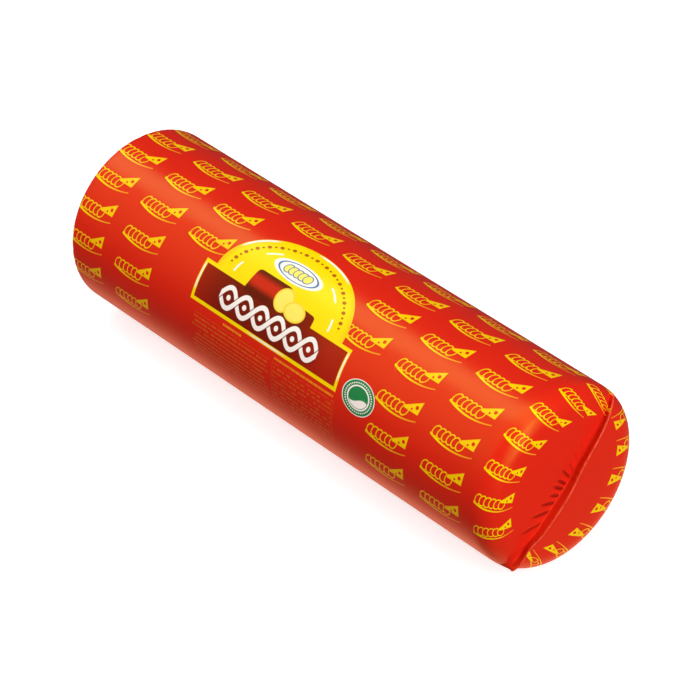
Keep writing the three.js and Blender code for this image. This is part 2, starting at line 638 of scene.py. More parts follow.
@dataclass(frozen=True)
class Gathers:
    """A fan of short tucks beside a weld, where the film is drawn in."""

    end: End
    panel: float  # 1 for the front panel and -1 for the back one
    seed: int
    pitch: float = math.radians(9.9)
    first: float = math.radians(-61)
    last: float = math.radians(17)
    faint_last: float = math.radians(41)
    centre_along: float = 0.7 * MM
    centre_across: float = -18 * MM
    depth: float = 0.7 * MM
    width: float = 3.1 * MM
    length: float = 10 * MM
    end_depth: float = 4 * MM  # how far round the rounded edge the fan may reach
    edge: float = math.radians(4)  # over which the fan's two sides fade
    faintness: float = 0.4  # of the last tucks, as a share of the others
    scatter: float = 0.16  # of a tuck's place, as a share of the pitch
    weakest: float = 0.6  # tuck, as a share of the full depth
    shortest: float = 0.75  # tuck, as a share of the length
    longest: float = 1.05
    onset: float = 1.6 * MM  # over which a tuck starts beside the weld
    taper: float = 3 * MM  # over which it ends

    def sizes(self) -> dict[str, float | int]:
        """Returns each named input of the tree, with its value."""
        return {
            "End": self.end.value, "Panel": self.panel, "Pitch": self.pitch, "First": self.first,
            "Last": self.last, "Faint Last": self.faint_last,
            "Centre Along": self.centre_along, "Centre Across": self.centre_across,
            "Depth": self.depth, "Width": self.width, "Length": self.length, "Seed": self.seed,
        }

    def tree(self, roll: Roll, material: bpy.types.Material) -> GeometryTree:
        """Builds the tree that presses the tucks in and marks them for the finish, which paints shade into
        them.

        Args:
            roll: the bag's driving sizes.
            material: the film's finish.

        Returns:
            The tree.
        """
        made = GeometryTree("gathers")
        g = made.graph
        inputs = [made.number(name, whole=isinstance(size, int)) for name, size in self.sizes().items()]
        end, panel, pitch, first, last, faint_last, centre_along, centre_across = inputs[:8]
        depth, width, length, seed = inputs[8:]
        x, y, z = split(g, g.add("GeometryNodeInputPosition").outputs[0])
        along_axis, across_axis = roll.weld_axes()
        over = z - roll.axis_height
        along = y * along_axis.y + over * along_axis.z
        across = (y * across_axis.y + over * across_axis.z) * panel
        fan_x = along - centre_along
        fan_y = across - centre_across
        turns = fan_x.math("ARCTAN2", fan_y) / pitch
        number = turns.math("ROUND")
        chance = self._chance(g, number, seed, -self.scatter, self.scatter)
        off = abs(turns - number + chance) * pitch * g.length(fan_x, fan_y)
        strength = self._chance(g, number, seed + 1, self.weakest, 1.0)
        reach = self._chance(g, number, seed + 2, self.shortest, self.longest) * length
        groove = (1 - off / (width * 0.5)).clamped()
        groove = groove * groove * (3 - 2 * groove)
        inner = (across / self.onset - 0.5).clamped()
        outer = ((reach - across) / self.taper).clamped()
        angle = turns * pitch
        faint = ((faint_last - angle) / self.edge).clamped() * self.faintness
        full = ((last - angle) / self.edge).clamped()
        fan = ((angle - first) / self.edge).clamped() & (full | faint)
        on_end = x * end > roll.half_length - self.end_depth
        mark = groove * strength * inner * outer * fan * on_end
        before = g.add("GeometryNodeInputNamedAttribute", {"data_type": "FLOAT"}, {"Name": "gather"})
        values = {"Geometry": made.inputs.outputs[0], "Name": "gather"}
        values["Value"] = mark | Value(g, before.outputs[0])
        settings = {"data_type": "FLOAT", "domain": "POINT"}
        stored = g.add("GeometryNodeStoreNamedAttribute", settings, values)
        normal = g.add("GeometryNodeInputNormal").outputs[0]
        push = g.add("ShaderNodeVectorMath", {"operation": "SCALE"}, {0: normal, "Scale": -mark * depth})
        values = {"Geometry": stored.outputs[0], "Offset": push.outputs[0]}
        pressed = g.add("GeometryNodeSetPosition", {}, values)
        made.close(pressed.outputs[0], material)
        return made

    @staticmethod
    def _chance(g: Graph, number: Value, seed: Value, low: float, high: float) -> Value:
        """A random number between low and high that belongs to each whole number."""
        node = g.add("FunctionNodeRandomValue", {"data_type": "FLOAT"})
        sockets = {socket.identifier: socket for socket in node.inputs}
        for name, value in (("Min_001", low), ("Max_001", high), ("ID", number), ("Seed", seed)):
            g.link(value, sockets[name])
        return Value(g, next(s for s in node.outputs if s.identifier == "Value_001"))

    def press(self, piece: bpy.types.Object, roll: Roll, material: bpy.types.Material) -> None:
        """Presses this fan of tucks into the film.

        Args:
            piece: the film.
            roll: the bag's driving sizes.
            material: the film's finish.
        """
        self.tree(roll, material).run(piece, self.sizes())


@dataclass(frozen=True)
class FusedEdge:
    """The bead that the hot knife leaves along a fin's tip."""

    radius: float = 0.42 * MM
    steps: int = 260
    seed: int = 4
    thinnest: float = 0.55  # as a share of the radius
    unevenness: float = 0.9
    lumps: float = 160.0  # per metre
    ring_points: int = 10

    def tree(self, material: bpy.types.Material) -> GeometryTree:
        """Builds the tree that sweeps an uneven bead along a line.

        Args:
            material: the bead's finish.

        Returns:
            The tree.
        """
        made = GeometryTree("fused_edge")
        g = made.graph
        radius = made.number("Radius")
        steps = made.number("Steps", whole=True)
        seed = made.number("Seed", whole=True)
        line = g.add("GeometryNodeMeshToCurve", {}, {0: made.inputs.outputs[0]})
        even = g.add("GeometryNodeResampleCurve", {}, {"Curve": line.outputs[0], "Count": steps})
        place = g.add("GeometryNodeInputPosition").outputs[0]
        settings = {"noise_dimensions": "4D"}
        values = {"Vector": place, "W": seed, "Scale": self.lumps, "Detail": 2.0}
        uneven = Value(g, g.add("ShaderNodeTexNoise", settings, values).outputs[0])
        size = radius * (self.thinnest + self.unevenness * uneven)
        values = {"Resolution": self.ring_points, "Radius": 1.0}
        circle = g.add("GeometryNodeCurvePrimitiveCircle", {}, values)
        values = {"Curve": even.outputs[0], "Profile Curve": circle.outputs[0]}
        values |= {"Scale": size, "Fill Caps": True}
        sweep = g.add("GeometryNodeCurveToMesh", {}, values)
        smooth = g.add("GeometryNodeSetShadeSmooth", {}, {"Geometry": sweep.outputs[0]})
        made.close(smooth.outputs[0], material)
        return made

    def make(self, name: str, line: np.ndarray, material: bpy.types.Material) -> bpy.types.Object:
        """Sweeps the bead along a line.

        Args:
            name: the piece's name.
            line: an array of (point, 3).
            material: the bead's finish.

        Returns:
            The bead.
        """
        edges = [(k, k + 1) for k in range(len(line) - 1)]
        piece = new_piece(name, line, edges=edges)
        sizes = {"Radius": self.radius, "Steps": self.steps, "Seed": self.seed}
        self.tree(material).run(piece, sizes)
        return piece


# ---- finishes ---------------------------------------------------------------------------------


@dataclass
class Canvas:
    """A flat print that is painted in layers, in millimetres."""

    graph: Graph
    x: Value
    y: Value
    colour: object
    edge: float = 0.14

    def inside(self, distance: Value) -> Value:
        """A soft mask of where a distance is above 0."""
        return self.graph.fade(distance, -self.edge, self.edge)

    def paint(self, mask: Value, ink: object) -> None:
        """Lays an ink over the print where the mask is 1."""
        self.colour = self.graph.mix(mask, self.colour, ink)

    def oval(self, centre: tuple[float, float], half: tuple[float, float]) -> Value:
        """The distance inside an oval.

        Args:
            centre: its middle.
            half: its half width and half height.

        Returns:
            The distance, scaled to the smaller half.
        """
        across = (self.x - centre[0]) / half[0]
        up = (self.y - centre[1]) / half[1]
        return (1 - self.graph.length(across, up)) * min(half)

    def box(self, low: tuple[float, float], high: tuple[float, float]) -> Value:
        """The distance inside a rectangle between two corners."""
        across = (high[0] - low[0]) / 2 - abs(self.x - (low[0] + high[0]) / 2)
        up = (high[1] - low[1]) / 2 - abs(self.y - (low[1] + high[1]) / 2)
        return across.math("MINIMUM", up)

    def shingled(
        self, first: tuple[float, float], pitch: float, half: tuple[float, float],
        count: int, lean: float, rind: float,
    ) -> tuple[Value, Value]:
        """A row of ovals, each lying over the one on its left.

        Args:
            first: the left oval's centre.
            pitch: the distance from each to the next.
            half: half an oval's width and height.
            count: how many there are.
            lean: how far an oval leans to the right with its height.
            rind: the outline's width, as a share of the oval.

        Returns:
            The mask of the outlines, and the mask of the whole ovals.
        """
        g = self.graph
        up = self.y - first[1]
        place = (self.x - first[0] - up * lean) / pitch
        number = place.math("ROUND")
        lines = bodies = None
        for step in (-1, 0, 1):
            size = g.length((place - number - step) * (pitch / half[0]), up / half[1])
            present = (number > -0.5 - step) & (number < count - 0.5 - step)
            body = g.fade(size, 1.02, 0.95) & present
            line = g.fade(size, 0.96 - rind, 1.02 - rind) & body
            lines = line if lines is None else (lines & (1 - body)) | line
            bodies = body if bodies is None else bodies | body
        return lines, bodies

    def beside(self, start: tuple[float, float], end: tuple[float, float]) -> Value:
        """The distance to the left of a line from start to end."""
        run = (end[0] - start[0], end[1] - start[1])
        size = math.hypot(*run)
        across = (-run[1] / size, run[0] / size)
        return self.x * across[0] + (self.y * across[1] - (start[0] * across[0] + start[1] * across[1]))

    def polygon(self, corners: Sequence[tuple[float, float]], rounding: float) -> Value:
        """The distance inside a polygon.

        Args:
            corners: its corners, counter-clockwise.
            rounding: how softly its corners turn.

        Returns:
            The distance.
        """
        sides = [self.beside(a, b) for a, b in zip(corners, [*corners[1:], corners[0]])]
        distance = sides[0]
        for side in sides[1:]:
            distance = distance.math("SMOOTH_MIN", side, rounding)
        return distance


@dataclass(frozen=True)
class Inks:
    """The colours of the film's print, and the shade painted into its tucks."""

    film: Colour = srgb(229, 36, 20)
    film_cloud: Colour = srgb(221, 32, 20)
    # Painted shade: the dark red that the finish lays into the tucks.
    tuck_shade: Colour = srgb(104, 10, 12)
    yellow: Colour = srgb(255, 230, 0)
    row_yellow: Colour = srgb(253, 212, 4)
    orange: Colour = srgb(246, 165, 30)
    white: Colour = srgb(255, 255, 250)
    slice: Colour = srgb(255, 240, 105)
    slice_edge: Colour = srgb(250, 215, 50)
    deep_red: Colour = srgb(104, 12, 10)
    band_red: Colour = srgb(176, 20, 16)
    gleam_red: Colour = srgb(206, 22, 20)
    brown: Colour = srgb(190, 92, 24)
    blue: Colour = srgb(40, 110, 180)
    green: Colour = srgb(22, 140, 78)
    small_print: Colour = srgb(220, 112, 34)


@dataclass(frozen=True)
class RowPrint:
    """The small picture of cheese slices on a plate that repeats over the film, in millimetres."""

    column_pitch: float = 38.45
    rows: int = 17
    row_angle: float = math.tau / 17
    first_column: float = -134.7
    first_row: float = math.radians(98.73)
    shear: float = 0.7  # each row starts this much before the one above
    left: float = 24.5  # from a picture's place to its cell's left side
    above: float = 6.5  # and to its cell's upper side
    last_column: int = 8
    top_row: int = -2
    plain_row: int = 5  # left free along the underside

    def paint(self, artwork: Canvas, roll: Roll, inks: Inks) -> None:
        """Paints the rows, and leaves the label's place free.

        Args:
            artwork: the film's whole print.
            roll: the bag's driving sizes.
            inks: the colours.
        """
        g = artwork.graph
        row_pitch = self.row_angle * roll.radius / MM
        first = self.first_row * roll.radius / MM
        down = -artwork.y - (first - self.above)
        row = (down / row_pitch).math("FLOOR")
        local_y = self.above - (down - row * row_pitch)
        turned = (row < self.top_row - 0.5) * self.rows  # rows that come round from the back
        right = artwork.x - (self.first_column - self.left) + (row + turned) * self.shear
        column = (right / self.column_pitch).math("FLOOR")
        local_x = right - column * self.column_pitch - self.left
        narrow = (row > -0.5) & (row < 1.5) & (column > 2.5) & (column < 4.5)
        wide = (row > 1.5) & (row < 4.5) & (column > 1.5) & (column < 5.5)
        plain_strip = abs(row - self.plain_row) < 0.5
        printed = (column > -1.5) & (column < self.last_column + 0.5) & (1 - plain_strip)
        free = (1 - (narrow | wide)) & printed
        picture = Canvas(g, local_x, local_y, artwork.colour)
        ink = g.mix(g.fade(local_x, -17, 5), inks.yellow, inks.orange)
        artwork.paint(self.plate(picture) & free, ink)
        artwork.paint((self.row(picture) | self.wedge(picture)) & free, inks.row_yellow)

    @staticmethod
    def plate(picture: Canvas) -> Value:
        """The mask of a shallow plate in one line, thicker on the left."""
        x, y = picture.x, picture.y
        curve = (x + 8.5) * (x + 8.5) * 0.0115 - 10.3
        half = 0.55 - (x + 22) * 0.011
        return picture.inside(half - abs(y - curve)) & (x > -22.5) & (x < 5.6)

    @staticmethod
    def row(picture: Canvas) -> Value:
        """The mask of six slices that lie over each other, each drawn as its rind."""
        return picture.shingled((-19.4, -5.9), 3.2, (2.5, 3.1), 6, 0.25, 0.22)[0]

    @staticmethod
    def wedge(picture: Canvas) -> Value:
        """The mask of a cheese wedge with its eyes."""
        body = picture.polygon([(-4.4, -4.9), (5.0, -4.9), (5.4, 1.9), (-4.4, -3.6)], 0.4)
        eyes = picture.inside(1.0 - picture.graph.length(picture.x - 3.0, picture.y + 1.9))
        eyes = eyes | picture.inside(0.6 - picture.graph.length(picture.x - 0.3, picture.y + 3.6))
        return picture.inside(body) & (1 - eyes)


@dataclass(frozen=True)
class LabelPrint:
    """The label on the front: a half-oval picture over a dark band, in millimetres."""

    centre: float = -7.3
    base_angle: float = math.radians(136.2)
    half_width: float = 46.7
    height: float = 33.0
    twist_half: float = 36.0
    twist_length: float = 24.0
    twist_height: float = 5.2
    twist_level: float = -11.0
    block_top: float = -26.5  # of the small print
    block_foot: float = -50.0
    left_block: float = -21.5  # its middle
    right_block: float = 32.5
    badge_centre: tuple[float, float] = (69.7, -17.6)
    badge_half: tuple[float, float] = (10.9, 8.5)

    def paint(self, artwork: Canvas, roll: Roll, inks: Inks) -> None:
        """Paints the whole label.

        Args:
            artwork: the film's whole print.
            roll: the bag's driving sizes.
            inks: the colours.
        """
        x = artwork.x - self.centre
        y = artwork.y + self.base_angle * roll.radius / MM
        label = Canvas(artwork.graph, x, y, artwork.colour)
        for paint_part in (
            self.small_print, self.half_oval, self.served_plate,
            self.band, self.drawn_roll, self.twist, self.badge,
        ):
            paint_part(label, inks)
        artwork.colour = label.colour

    @staticmethod
    def arcs(angle: Value, spans: Sequence[tuple[float, float, float]]) -> Value:
        """The mask of some stretches of the half-oval.

        Args:
            angle: the angle round the half-oval.
            spans: each stretch's middle, and how far from it the mask starts and is full.

        Returns:
            The mask.
        """
        masks = [angle.graph.fade(abs(angle - middle), start, full) for middle, start, full in spans]
        mask = masks[0]
        for other in masks[1:]:
            mask = mask | other
        return mask

    def half_oval(self, label: Canvas, inks: Inks) -> None:
        """Paints the yellow half-oval with its ring of dots and its white gleams."""
        g = label.graph
        across, up = label.x / self.half_width, label.y / self.height
        size = g.length(across, up)
        angle = up.math("ARCTAN2", across)
        above = label.y > -0.5
        label.paint(label.inside((1 - size) * self.height) & above, inks.yellow)
        rim = g.fade(size, 0.955, 0.975) & g.fade(size, 1.0, 0.985) & above
        shaded = g.fade(size, 0.9, 1.0) & g.fade(abs(angle - 1.45), 0.55, 0.9) & above & (size < 1.0)
        label.paint(shaded * 0.35, inks.orange)
        gleams = self.arcs(angle, ((1.30, 0.34, 0.22), (2.42, 0.3, 0.16)))
        label.paint(rim & gleams, inks.white)
        thread = g.fade(abs(size - 0.755), 0.016, 0.008) & above
        spans = ((2.23, 0.16, 0.13), (0.80, 0.17, 0.14), (2.95, 0.14, 0.11), (0.18, 0.14, 0.11))
        label.paint(thread & self.arcs(angle, spans), inks.white)
        steps = angle * (34 / math.pi)
        number = steps.math("ROUND")
        odd = number.math("MODULO", 2.0)
        dot = label.inside(0.62 + 0.4 * odd - g.length((steps - number) * 2.9, (size - 0.868) * 38))
        label.paint(dot & above & (size < 0.95) & (angle > 0.12) & (angle < 3.02), inks.brown)

    @staticmethod
    def served_plate(label: Canvas, inks: Inks) -> None:
        """Paints a white plate with a blue rim line and a row of small slices."""
        g = label.graph
        plate = label.oval((-1.3, 17.2), (16.0, 5.3))
        label.paint(g.fade(plate, -0.5, -0.2), inks.white)
        label.paint(g.fade(abs(plate - 0.75), 0.32, 0.14), inks.blue)
        lines, slices = label.shingled((-8.3, 17.2), 3.5, (3.1, 2.7), 5, 0.2, 0.2)
        label.paint(slices, inks.slice)
        label.paint(lines, inks.blue)

    def band(self, label: Canvas, inks: Inks) -> None:
        """Paints the dark band with its yellow border."""
        g = label.graph
        flare = (label.y + 10.8) * 0.000336
        wide = Canvas(g, label.x * (1 + flare), label.y, label.colour)
        border = wide.box((-54.2, -21.6), (54.6, 0.2))
        wide.paint(label.inside(border), inks.yellow)
        sides = g.fade(abs(label.y + 9), 8, 5) & (abs(label.x) > 50)
        bottom = g.fade(abs(label.x - 3), 16, 5) & (label.y < -17)
        middle = g.fade(abs(border - 0.95), 0.6, 0.25)
        wide.paint(middle & (sides | bottom), inks.white)
        hump = wide.polygon([(-24, -8), (25.5, -8), (24.6, 3.6), (2, 5.0), (-24, -1)], 3.2)
        ground = (border - 1.9).math("MAXIMUM", hump)
        shade = g.fade(abs(label.x + 8), 54, 22) * 0.8
        wide.paint(label.inside(ground), g.mix(shade, inks.band_red, inks.deep_red))
        label.colour = wide.colour

    @staticmethod
    def drawn_roll(label: Canvas, inks: Inks) -> None:
        """Paints the little roll with two slices."""
        g = label.graph
        body = label.polygon([(-24.4, -4.2), (3.0, -4.2), (3.0, 9.8), (-22.0, 9.8)], 4.0)
        gleam = g.fade(abs(label.y - 3.9), 5.2, 1.2)
        label.paint(label.inside(body), g.mix(gleam, inks.deep_red, inks.gleam_red))
        for centre, half in (((2.0, 2.7), (6.1, 6.4)), ((11.6, 0.3), (7.2, 5.0))):
            piece = label.oval(centre, half)
            ink = g.mix(g.fade(piece, 0.0, 1.4), inks.slice_edge, inks.slice)
            label.paint(label.inside(piece), ink)

    def twist(self, label: Canvas, inks: Inks) -> None:
        """Paints a white twist of two strands, with a dot in each opening."""
        g = label.graph
        x, y = label.x, label.y - self.twist_level
        turn = (x + self.twist_half) * (math.tau / self.twist_length)
        wave = turn.math("SINE") * self.twist_height
        slope = turn.math("COSINE") * (self.twist_height * math.tau / self.twist_length)
        steep = (slope * slope + 1).math("SQRT")
        ends = g.fade(abs(x), self.twist_half + 0.4, self.twist_half)
        over = turn.math("COSINE") > 0
        for sign, on_top in ((-1, over), (1, 1 - over), (-1, 1 - over), (1, over)):
            distance = abs(y - wave * sign) / steep
            part = ends & on_top
            label.paint(g.fade(distance, 2.1, 1.35) & part, inks.deep_red)
            label.paint(g.fade(distance, 1.35, 1.1) & part, inks.white)
        half = self.twist_length / 2
        number = (x + self.twist_half) / half
        off = (number - number.math("FLOOR") - 0.5) * half
        label.paint(label.inside(1.4 - g.length(off, y)) & ends, inks.white)

    def small_print(self, label: Canvas, inks: Inks) -> None:
        """Paints two faint blocks of fine ruled lines below the band."""
        g = label.graph
        pitch = 2.4
        rows = label.y / pitch
        row = rows.math("ROUND")
        line = g.fade(abs(rows - row) * pitch, 0.62, 0.3)
        place = g.add("ShaderNodeCombineXYZ", {}, {0: label.x * 1.5, 1: row * 7.7, 2: 0.0})
        broken = g.fade(g.noise(place.outputs[0], 1.0, 1.0), 0.40, 0.48)
        ragged = g.add("ShaderNodeCombineXYZ", {}, {0: 3.0, 1: row * 3.3, 2: 0.0})
        half = 21 + 14 * g.noise(ragged.outputs[0], 1.0, 0.0)
        cells = g.fade(g.noise(place.outputs[0], 0.35), 0.42, 0.5)
        off_left, off_right = abs(label.x - self.left_block), abs(label.x - self.right_block)
        blocks = (off_left < half) | ((off_right < 22) & cells)
        blocks = blocks & (label.y < self.block_top) & (label.y > self.block_foot)
        heads = (abs(label.y + 24.3) < 0.6) & ((off_left < 7) | (off_right < 22))
        rules = abs(off_right - 22.5) < 0.15
        rules = rules & (label.y < self.block_top + 1) & (label.y > self.block_foot - 0.5)
        label.paint(line & broken & blocks * 0.75, inks.small_print)
        label.paint(heads & broken * 0.8, inks.orange)
        label.paint(rules * 0.45, inks.small_print)

    def badge(self, label: Canvas, inks: Inks) -> None:
        """Paints the round green badge beside the band, with nothing on it but rings and dots."""
        g = label.graph
        across = (label.x - self.badge_centre[0]) / self.badge_half[0]
        up = (label.y - self.badge_centre[1]) / self.badge_half[1]
        size = g.length(across, up)
        angle = up.math("ARCTAN2", across)
        label.paint(g.fade(size, 1.03, 1.0), inks.white)
        label.paint(g.fade(size, 0.985, 0.955), inks.green)
        label.paint(g.fade(abs(size - 0.66), 0.05, 0.03), inks.white)
        steps = angle * (20 / math.pi)
        dots = g.length((steps - steps.math("ROUND")) * 1.35, (size - 0.815) * 9.5)
        label.paint(g.fade(dots, 0.5, 0.3), inks.white)
        hill = up * self.badge_half[1] + 1.4 - (across * 4.2).math("SINE") * 1.3
        label.paint(g.fade(hill, 0.3, -0.3) & g.fade(size, 0.60, 0.57), inks.white)


@dataclass(frozen=True)
class PrintedFilm:
    """Glossy shrink film, printed all round."""

    inks: Inks = Inks()
    roughness: float = 0.26
    refraction: float = 1.6
    tint: Colour = (1.0, 1.0, 0.12)

    def material(self, roll: Roll) -> bpy.types.Material:
        """Makes the film's material, which reads the film_print map in metres.

        Args:
            roll: the bag's driving sizes.

        Returns:
            The material.
        """
        material, g, shader = new_material("printed_film")
        flat = g.add("ShaderNodeUVMap", {"uv_map": "film_print"}).outputs[0]
        along, around, _ = split(g, flat)
        place = g.add("ShaderNodeTexCoord").outputs["Object"]
        cloud = g.noise(place, 28, 2)
        film = g.mix(g.fade(cloud, 0.25, 0.75) * 0.35, self.inks.film, self.inks.film_cloud)
        artwork = Canvas(g, along / MM, around * (-1 / MM), film)
        RowPrint().paint(artwork, roll, self.inks)
        LabelPrint().paint(artwork, roll, self.inks)
        gather = Value(g, g.add("ShaderNodeAttribute", {"attribute_name": "gather"}).outputs["Fac"])
        # Painted shade: the film is darkened where the gather mark says a tuck is pressed in.
        artwork.paint(g.fade(gather, 0.05, 0.75) * 0.72, self.inks.tuck_shade)
        g.link(artwork.colour, shader.inputs["Base Color"])
        fine = g.noise(place, 900, 2)
        slow = g.noise(place, 45, 2)
        g.link(self.roughness - 0.03 + slow * 0.06, shader.inputs["Roughness"])
        g.link(self.tint, shader.inputs["Specular Tint"])
        g.link(self.refraction, shader.inputs["IOR"])
        height = slow + fine * 0.02
        bump = g.add("ShaderNodeBump", {}, {"Strength": 0.25, "Distance": 0.0004, "Height": height})
        g.link(bump.outputs[0], shader.inputs["Normal"])
        return material


@dataclass(frozen=True)
class FusedFilm:
    """Film that has run together under the hot knife, a little shinier than the print, its red patched with
    a pale orange that is painted highlight.
    """

    melted: Colour = srgb(206, 34, 20)
    # Painted highlight: the pale orange of a gleam along the bead.
    pale: Colour = srgb(240, 96, 52)

    def material(self) -> bpy.types.Material:
        """Makes the bead's material."""
        material, g, shader = new_material("fused_film")
        place = g.add("ShaderNodeTexCoord").outputs["Object"]
        bumps_and_gleam = g.fade(g.noise(place, 220, 3), 0.3, 0.7)
        # The noise patches lift the red towards the pale orange, a painted highlight; the same noise also
        # bumps the surface.
        g.link(g.mix(bumps_and_gleam, self.melted, self.pale), shader.inputs["Base Color"])
        g.link(0.22 + 0.14 * g.noise(place, 500), shader.inputs["Roughness"])
        bump = g.add("ShaderNodeBump", {}, {"Strength": 0.4, "Distance": 0.0002, "Height": bumps_and_gleam})
        g.link(bump.outputs[0], shader.inputs["Normal"])
        return material


@dataclass(frozen=True)
class SmokedCheese:
    """Firm, smooth cheese with small eyes and a darker skin."""

    paste: Colour = srgb(246, 222, 140)
    skin: Colour = srgb(226, 178, 84)

    def material(self) -> bpy.types.Material:
        """Makes the cheese's material."""
        material, g, shader = new_material("cheese")
        place = g.add("ShaderNodeTexCoord").outputs["Object"]
        eyes = g.add("ShaderNodeTexVoronoi", {"feature": "F1"}, {"Vector": place, "Scale": 90.0})
        eye_hollow_and_shade = g.fade(Value(g, eyes.outputs["Distance"]), 0.22, 0.12)
        colour = g.mix(g.fade(g.noise(place, 40, 4), 0.3, 0.7), self.paste, self.skin)
        # Painted shade in the hollows: each eye is darkened towards the skin's colour.
        colour = g.mix(eye_hollow_and_shade * 0.6, colour, self.skin, "MULTIPLY")
        g.link(colour, shader.inputs["Base Color"])
        g.link(0.42 + 0.2 * g.noise(place, 300), shader.inputs["Roughness"])
        height = g.noise(place, 600, 3) * 0.2 - eye_hollow_and_shade
        bump = g.add("ShaderNodeBump", {}, {"Strength": 0.5, "Distance": 0.0005, "Height": height})
        g.link(bump.outputs[0], shader.inputs["Normal"])
        return material


# ---- pieces -----------------------------------------------------------------------------------


def new_piece(name: str, points: np.ndarray, faces: Sequence = (), edges: Sequence = ()) -> bpy.types.Object:
    """Makes an object at the origin from points in the model's frame.

    Args:
        name: the piece's name.
        points: an array of (point, 3).
        faces: each face's point numbers.
        edges: each loose edge's point numbers.

    Returns:
        The object.
    """
    mesh = bpy.data.meshes.new(name)
    mesh.from_pydata(points.tolist(), edges, faces)
    piece = bpy.data.objects.new(name, mesh)
    bpy.context.scene.collection.objects.link(piece)
    return piece


@dataclass
class FilmBag:
    """The printed bag that shrinks round the cheese, with a welded fin at each end."""

    roll: Roll
    outer: FilmWall = field(init=False)
    inner: FilmWall = field(init=False)
    thinning: int = 4  # outer columns for each inner one
    print_shrink_start: float = 141.6 * MM
    front_shrink: float = 1.37
    back_shrink: float = 1.05
    chart_strips: tuple = ((0.003, 0.925), (0.935, 0.997))  # each wall's part of the bake's square
    chart_margin: float = 0.003

    def __post_init__(self) -> None:
        """Lays out the two walls."""
        self.outer = FilmWall(
            self.roll, columns=480, inset=0.0, fin_half=0.42 * MM, face_rows=62, fin_rows=7, body_rows=12
        )
        self.inner = FilmWall(
            self.roll, columns=self.outer.columns // self.thinning, inset=self.roll.film,
            fin_half=self.roll.mouth_gap / 2, face_rows=40, fin_rows=4, body_rows=6,
        )

    def print_place(self, along: np.ndarray, columns: int) -> np.ndarray:
        """Where each point falls on the flat print, along the roll.

        The mouth's end shrinks more than the body, so more print falls on each millimetre there.

        Args:
            along: an array of (row, column) of distances along the film.
            columns: the number of columns.

        Returns:
            The places, in metres.
        """
        angle = np.arange(columns + 1) * 2 * math.pi / columns
        front = 0.5 + 0.5 * np.tanh(3 * np.sin(angle))
        shrink = self.back_shrink + (self.front_shrink - self.back_shrink) * front
        past = np.maximum(along - self.print_shrink_start, 0)
        return np.minimum(along, self.print_shrink_start) + past * shrink

    @staticmethod
    def wall_faces(columns: int, first: int, rows: int, outside: bool) -> list[tuple[int, ...]]:
        """The quads of one wall.

        Args:
            columns: the points of each of its rings.
            first: the number of its first point.
            rows: how many rings it has.
            outside: whether its faces look away from the cheese.

        Returns:
            Each face's point numbers.
        """
        faces = []
        for start in range(first, first + (rows - 1) * columns, columns):
            for column in range(columns):
                a = start + column
                b = start + (column + 1) % columns
                face = (a, b, b + columns, a + columns)
                faces.append(face[::-1] if outside else face)
        return faces

    @staticmethod
    def zip_faces(first: int, columns: int, outwards: bool) -> list[tuple[int, ...]]:
        """The faces that close a ring's front half onto its back half.

        Args:
            first: the number of the ring's first point.
            columns: the ring's points.
            outwards: whether the faces look along -X.

        Returns:
            Each face's point numbers.
        """
        faces = []
        for k in range(columns // 2):
            ring = [k, k + 1, columns - k - 1, (columns - k) % columns]
            face = tuple(dict.fromkeys(first + i for i in ring))
            faces.append(face[::-1] if outwards else face)
        return faces

    def build(self, material: bpy.types.Material) -> bpy.types.Object:
        """Makes the bag's closed mesh with its two maps.

        Args:
            material: the film's finish.

        Returns:
            The bag.
        """
        points, prints, faces, starts = [], [], [], []
        first = 0
        for wall, outside in ((self.outer, True), (self.inner, False)):
            rings, along = wall.rings()
            starts.append((first, len(rings)))
            points.append(rings.reshape(-1, 3))
            wrapped = np.concatenate([along, along[:, :1]], axis=1)
            prints.append(self.print_place(wrapped, wall.columns))
            faces += self.wall_faces(wall.columns, first, len(rings), outside)
            faces += self.zip_faces(first, wall.columns, outside)
            first += len(rings) * wall.columns
        faces += self.lip_faces(starts)
        piece = new_piece("printed_film", np.concatenate(points), faces)
        mesh = piece.data
        mesh.shade_smooth()
        mesh.materials.append(material)
        self.add_maps(mesh, starts, prints)
        return piece

    def lip_faces(self, starts: list[tuple[int, int]]) -> list[tuple[int, ...]]:
        """The faces between the two walls round the mouth's slot.

        Args:
            starts: each wall's first point and its number of rings.

        Returns:
            Each face's point numbers.
        """
        outer_ring = starts[0][0] + (starts[0][1] - 1) * self.outer.columns
        inner_ring = starts[1][0] + (starts[1][1] - 1) * self.inner.columns
        faces = []
        for k in range(self.inner.columns):
            columns = range(k * self.thinning, (k + 1) * self.thinning + 1)
            across = [outer_ring + column % self.outer.columns for column in columns]
            back = [inner_ring + (k + 1) % self.inner.columns, inner_ring + k]
            faces.append(tuple(reversed(across + back)))
        return faces

    def add_maps(
        self, mesh: bpy.types.Mesh, starts: list[tuple[int, int]], prints: list[np.ndarray]
    ) -> None:
        """Adds the print's map in metres, and the bake's map in a unit square.

        Args:
            mesh: the bag's mesh.
            starts: each wall's first point and its number of rings.
            prints: each wall's print places, with the first column repeated at the end.
        """
        total = len(mesh.loops)
        vertex = np.empty(total, int)
        mesh.loops.foreach_get("vertex_index", vertex)
        counts = np.empty(len(mesh.polygons), int)
        mesh.polygons.foreach_get("loop_total", counts)
        polygon = np.repeat(np.arange(len(counts)), counts)
        on_inner = vertex >= starts[1][0]
        flat = np.zeros((total, 2))
        chart = np.zeros((total, 2))
        for which, wall in enumerate((self.outer, self.inner)):
            mine = on_inner == bool(which)
            local = vertex[mine] - starts[which][0]
            row, column = np.divmod(local, wall.columns)
